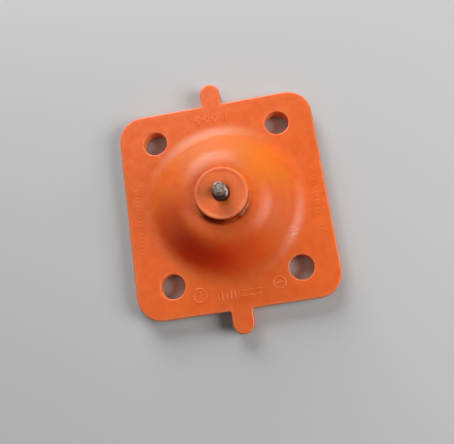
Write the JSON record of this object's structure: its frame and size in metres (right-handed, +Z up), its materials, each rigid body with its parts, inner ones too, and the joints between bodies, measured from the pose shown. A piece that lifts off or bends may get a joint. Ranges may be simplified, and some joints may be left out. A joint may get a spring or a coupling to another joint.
{
  "type": "silicone diaphragm",
  "caption": "Moulded silicone diaphragm with a bolted rectangular flange, end tabs, a bell-shaped dome and a round boss with a threaded steel stud.",
  "frame": {"origin": "on the stud's axis, at the level of the rim bead's lowest line, which is also the centre of the bounding box's base", "axes": "+Z up the stud, +Y along the line of the two tabs, +X across the flange"},
  "size_m": [0.073, 0.0938, 0.0292],
  "materials": {
    "silicone": "satin moulded silicone",
    "steel": "worn machined steel"
  },
  "bodies": {
    "root": {"diaphragm_body": "silicone", "stud_insert": "steel"}
  },
  "joints": []
}
